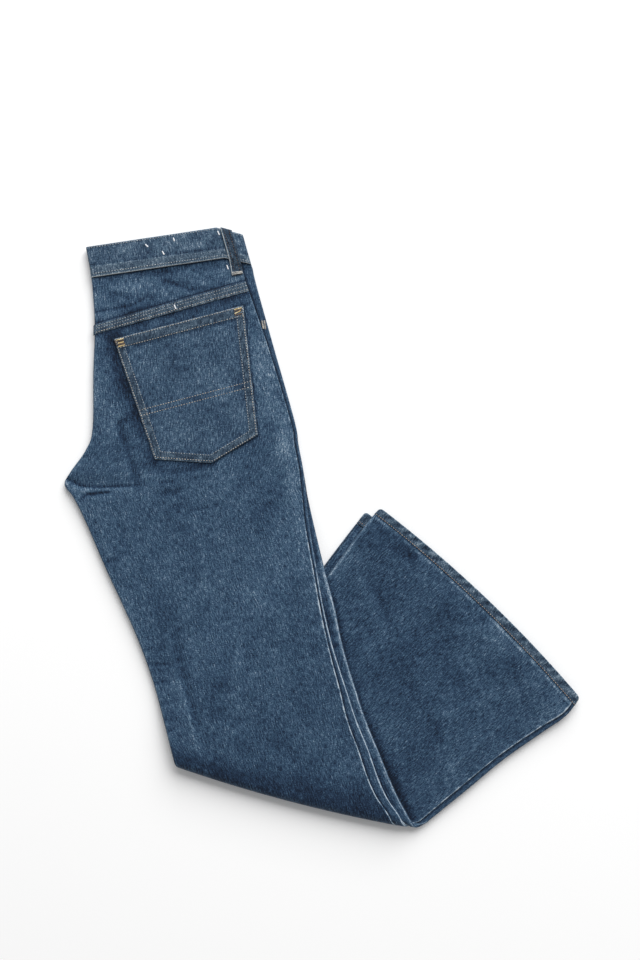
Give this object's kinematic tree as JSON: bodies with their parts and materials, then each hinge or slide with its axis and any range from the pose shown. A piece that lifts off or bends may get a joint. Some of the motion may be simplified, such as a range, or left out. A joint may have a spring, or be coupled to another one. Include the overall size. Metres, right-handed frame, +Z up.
{
  "type": "folded flared jeans",
  "caption": "Denim flared trousers folded in half lengthwise with the backs outside, then folded under at the knee, lying flat.",
  "frame": {"origin": "middle of the folded garment's plan, on the surface that it lies on", "axes": "+Z up off the surface, +Y towards the waist along the length of the folded garment, +X towards the side that the hems point to"},
  "size_m": [0.6414, 0.7464, 0.0204],
  "materials": {
    "denim": "indigo warp-faced twill, washed, matt",
    "topstitch": "tan polyester core thread"
  },
  "bodies": {
    "root": {"right_back_panel": "denim", "left_back_panel": "denim", "folded_fronts": "denim", "right_yoke": "denim", "left_yoke": "denim", "waistband": "denim", "right_back_pocket": "denim", "side_belt_loop": "denim", "left_leg_hem": "denim", "right_leg_hem": "denim"}
  },
  "joints": []
}
